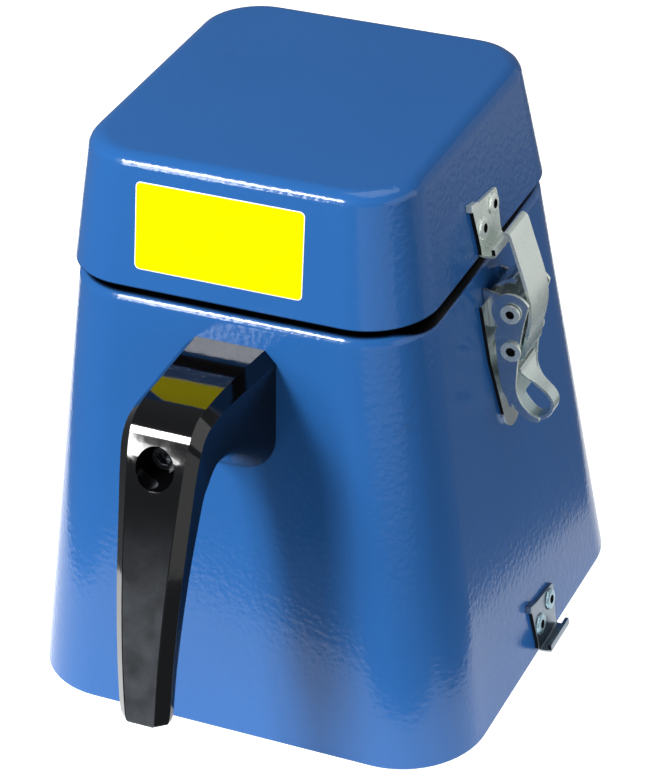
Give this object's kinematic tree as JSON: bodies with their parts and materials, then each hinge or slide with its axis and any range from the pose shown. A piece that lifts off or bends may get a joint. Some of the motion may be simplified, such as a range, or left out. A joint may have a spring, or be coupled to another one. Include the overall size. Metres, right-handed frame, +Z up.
{
  "type": "analytical lab mill",
  "caption": "Tapered bench mill with a hinged lid, toggle latch, cantilever handle, grinding chamber with cutting blade and enclosed motor.",
  "frame": {"origin": "centre of the base plate's underside, on the motor's axis; the rubber feet reach 8 mm below it", "axes": "+Z up along the motor shaft, +X towards the latch, -Y towards the handle"},
  "size_m": [0.2071, 0.281, 0.2555],
  "materials": {
    "paint": "glossy blue stoving enamel with a fine hammered skin",
    "plated_steel": "bright zinc plate with faint drawing lines",
    "stainless": "turned stainless steel",
    "casting": "satin aluminium",
    "core_iron": "laminated core plate",
    "copper": "enamelled copper",
    "gloss_black": "high gloss black moulding, satin towards the tip",
    "black_plastic": "fine grained black plastic",
    "rubber": "matt black rubber",
    "red_rubber": "red silicone rubber",
    "carbon": "pressed carbon",
    "ivory_plastic": "natural plastic"
  },
  "bodies": {
    "root": {"housing_shell": "paint", "base_plate": "casting", "base_screws": "plated_steel", "rubber_feet": "rubber", "foot_screws": "plated_steel", "deck_plate": "casting", "deck_screws": "plated_steel", "lid_gasket": "rubber", "grinding_chamber": "stainless", "chamber_screws": "plated_steel", "shaft_seal": "rubber", "standoffs": "plated_steel", "motor_bracket": "casting", "upper_end_bell": "casting", "lower_end_bell": "casting", "stator_core": "core_iron", "field_coils": "copper", "upper_bearing": "stainless", "lower_bearing": "stainless", "brush_holders": "black_plastic", "carbon_brushes": "carbon", "brush_caps": "black_plastic", "handle": "gloss_black", "handle_screw": "plated_steel", "handle_nut": "plated_steel", "latch_base": "plated_steel", "latch_rivets": "plated_steel", "latch_pin": "plated_steel", "lower_keeper": "plated_steel", "lower_keeper_rivets": "plated_steel", "hinge_leaf_body": "plated_steel", "hinge_pin": "plated_steel", "power_inlet": "black_plastic", "inlet_pins": "plated_steel", "rocker_housing": "black_plastic", "interlock_switch": "black_plastic"},
    "rotor": {"motor_shaft": "stainless", "armature_core": "core_iron", "armature_winding": "copper", "commutator": "copper", "cooling_fan": "ivory_plastic", "cutting_blade": "stainless", "blade_nut": "stainless"},
    "lid": {"lid_shell": "paint", "lid_liner": "black_plastic", "liner_screws": "plated_steel", "chamber_cover": "stainless", "cover_seal": "red_rubber", "lid_keeper": "plated_steel", "lid_keeper_rivets": "plated_steel", "hinge_leaf_lid": "plated_steel", "interlock_tongue": "black_plastic"},
    "lever": {"latch_lever": "plated_steel", "claw_pin": "plated_steel"},
    "claw": {"spring_claw": "plated_steel"},
    "rocker": {"rocker_button": "black_plastic"},
    "plunger": {"interlock_plunger": "ivory_plastic"}
  },
  "joints": [
    {"name": "lid_hinge", "type": "hinge", "parent": "root", "child": "lid", "pos_m": [-0.0826, 0, 0.192], "axis": [0, -1, 0], "range_deg": [0, 105]},
    {"name": "latch_lever", "type": "hinge", "parent": "root", "child": "lever", "pos_m": [0.09178, -0.0005, 0.1712], "axis": [0, -1, 0], "range_deg": [0, 105]},
    {"name": "latch_claw", "type": "hinge", "parent": "lever", "child": "claw", "pos_m": [0.09178, -0.0005, 0.1536], "axis": [0, -1, 0], "range_deg": [-105, 0]},
    {"name": "rotor_spin", "type": "hinge", "parent": "root", "child": "rotor", "pos_m": [0, 0, 0.15], "axis": [0, 0, 1], "continuous": true},
    {"name": "rocker_tilt", "type": "hinge", "parent": "root", "child": "rocker", "pos_m": [0.024, 0.09496, 0.04336], "axis": [1, 0, 0], "range_deg": [0, 18]},
    {"name": "plunger_slide", "type": "slide", "parent": "root", "child": "plunger", "axis": [0, 0, 1], "range_m": [-0.002, 0], "stiffness_N_per_m": 300, "springref_m": 0.001}
  ],
  "couplings": [
    {"joint": "latch_claw", "follows": "latch_lever", "ratio": -1}
  ]
}
